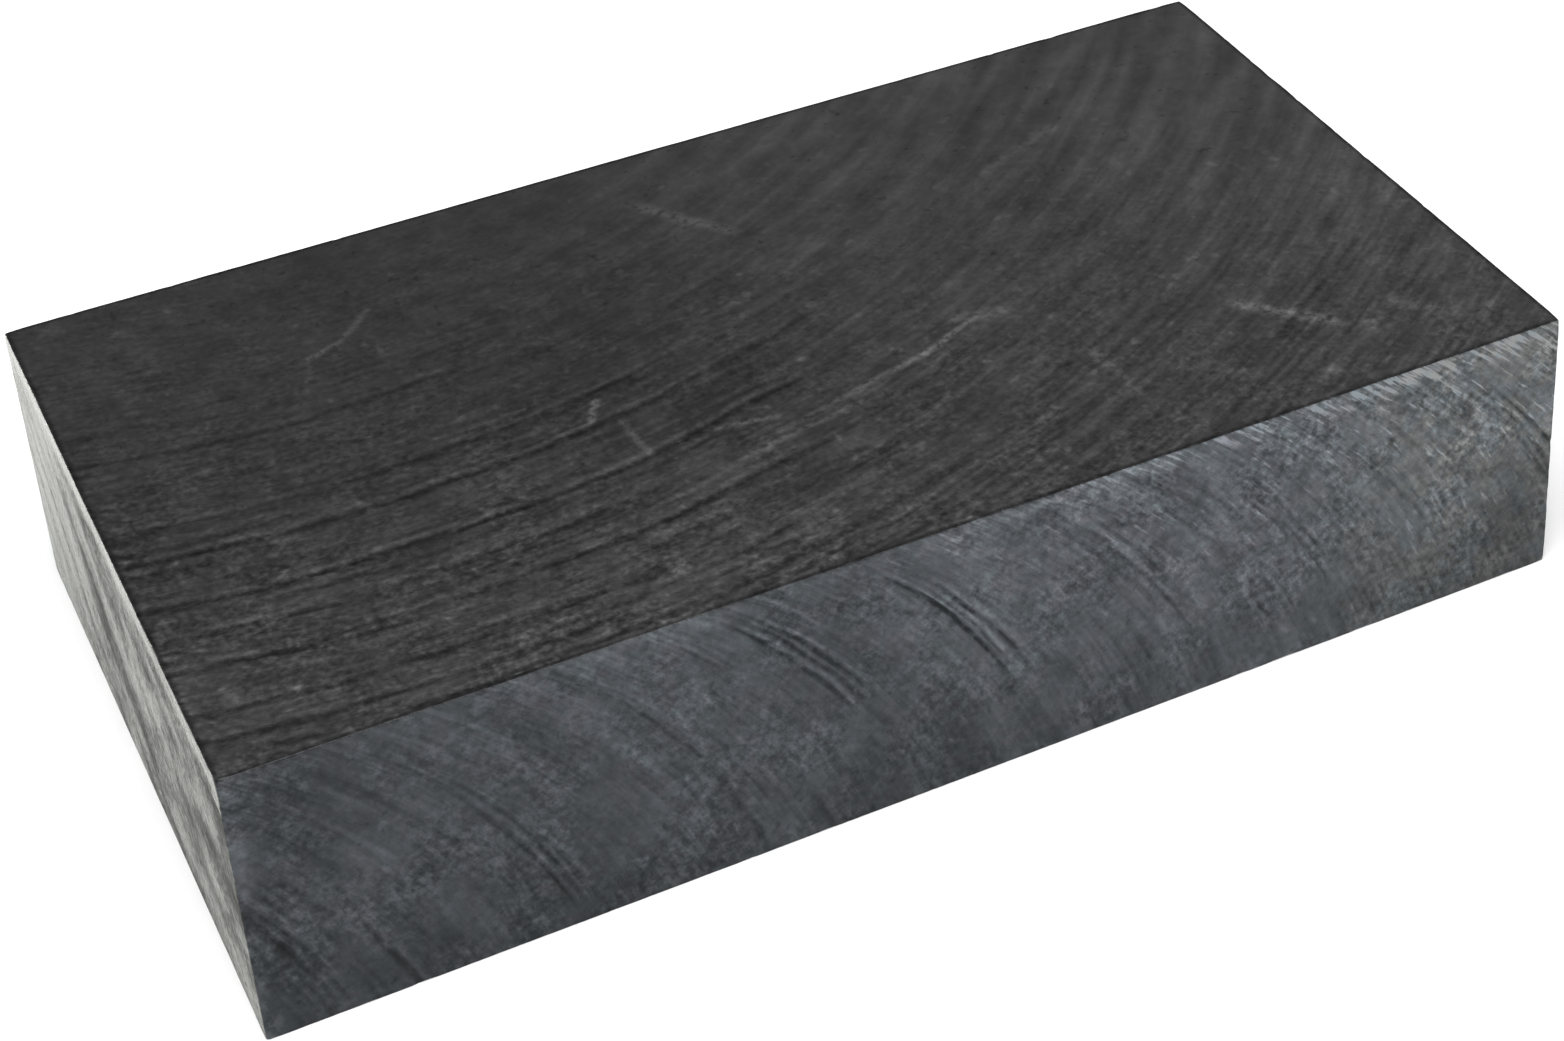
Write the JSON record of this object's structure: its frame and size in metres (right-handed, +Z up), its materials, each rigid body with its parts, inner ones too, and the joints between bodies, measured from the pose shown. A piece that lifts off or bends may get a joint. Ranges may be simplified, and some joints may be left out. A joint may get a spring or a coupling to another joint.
{
  "type": "charcoal block",
  "caption": "Rectangular block of dense pressed drawing charcoal with flat machined faces and crisp edges, for drawing, shading and rubbing.",
  "frame": {"origin": "middle of the broad face that the block rests on", "axes": "+X along the length, +Y from the front long side to the back one, +Z up through the thickness"},
  "size_m": [0.09, 0.05, 0.02],
  "materials": {
    "charcoal": "satin"
  },
  "bodies": {
    "root": {"charcoal_block": "charcoal"}
  },
  "joints": []
}
